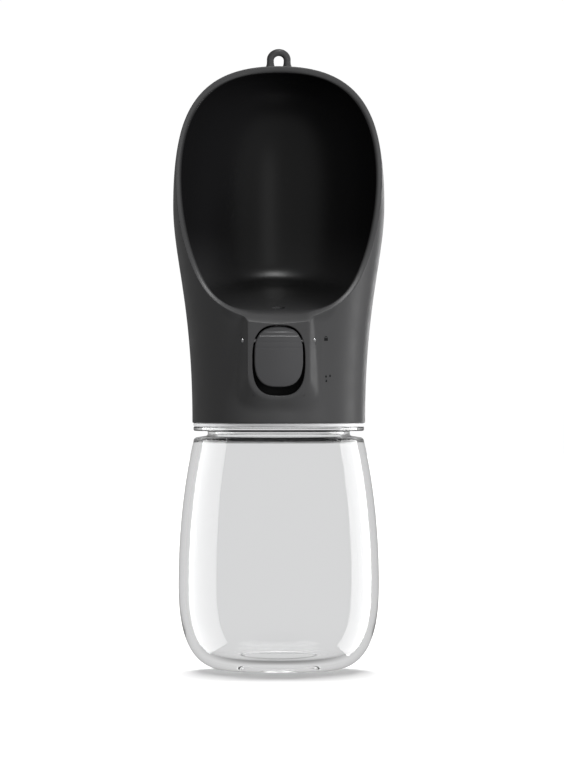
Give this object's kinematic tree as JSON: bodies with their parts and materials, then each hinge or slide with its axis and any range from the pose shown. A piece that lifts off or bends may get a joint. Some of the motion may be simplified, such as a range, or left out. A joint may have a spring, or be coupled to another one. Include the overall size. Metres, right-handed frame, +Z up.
{
  "type": "dog travel water bottle",
  "caption": "Clear screw-on bottle with a scoop-shaped drinking head and a push key that lets water into the scoop.",
  "frame": {"origin": "middle of the bottle's foot, on the surface it stands on", "axes": "+Z up along the bottle's axis, -Y towards the key and the open front of the scoop, +X to the right as seen from the front"},
  "size_m": [0.0714, 0.0696, 0.2107],
  "materials": {
    "clear_bottle": "clear, polished",
    "grey_seal": "matt silicone",
    "charcoal_shell": "fine satin",
    "charcoal_cap": "moulded",
    "white_acetal": "moulded",
    "black_acetal": "moulded",
    "black_rubber": "matt",
    "spring_steel": "drawn wire",
    "key_plastic": "fine satin"
  },
  "bodies": {
    "bottle": {"bottle": "clear_bottle", "flange_seal": "grey_seal"},
    "neck_ring": {"mouth_seal": "grey_seal"},
    "head": {"trough_shell": "charcoal_shell", "cord_eye": "charcoal_shell", "inner_cap": "charcoal_cap", "valve_body": "black_acetal", "inlet_ring": "black_rubber", "outlet_seal": "grey_seal", "gland_bush": "black_acetal", "stem_ring": "black_rubber", "rear_plug": "white_acetal", "plug_ring": "black_rubber", "return_spring": "spring_steel", "pivot_pin": "spring_steel"},
    "valve_stem": {"plunger": "white_acetal", "poppet_seal": "grey_seal"},
    "rocker": {"key_rocker": "charcoal_cap"},
    "key": {"key_cap": "key_plastic"}
  },
  "joints": [
    {"name": "head_rise", "type": "slide", "parent": "bottle", "child": "neck_ring", "axis": [0, 0, 1], "range_m": [0, 0.0056]},
    {"name": "head_unscrew", "type": "hinge", "parent": "neck_ring", "child": "head", "pos_m": [0, 0, 0.0855], "axis": [0, 0, 1], "range_deg": [0, 630]},
    {"name": "key_press", "type": "hinge", "parent": "head", "child": "rocker", "pos_m": [0, -0.0278, 0.1112], "axis": [1, 0, 0], "range_deg": [0, 11]},
    {"name": "valve_open", "type": "slide", "parent": "head", "child": "valve_stem", "axis": [0, 1, 0], "range_m": [0, 0.00175], "stiffness_N_per_m": 120, "springref_m": -0.001, "deforming": ["return_spring"]},
    {"name": "key_lock", "type": "slide", "parent": "rocker", "child": "key", "axis": [0, 0, -1], "range_m": [0, 0.0023]}
  ],
  "couplings": [
    {"joint": "head_rise", "follows": "head_unscrew", "m_per_rad": 0.0005093},
    {"joint": "key_press", "follows": "valve_open", "rad_per_m": 109.89}
  ]
}
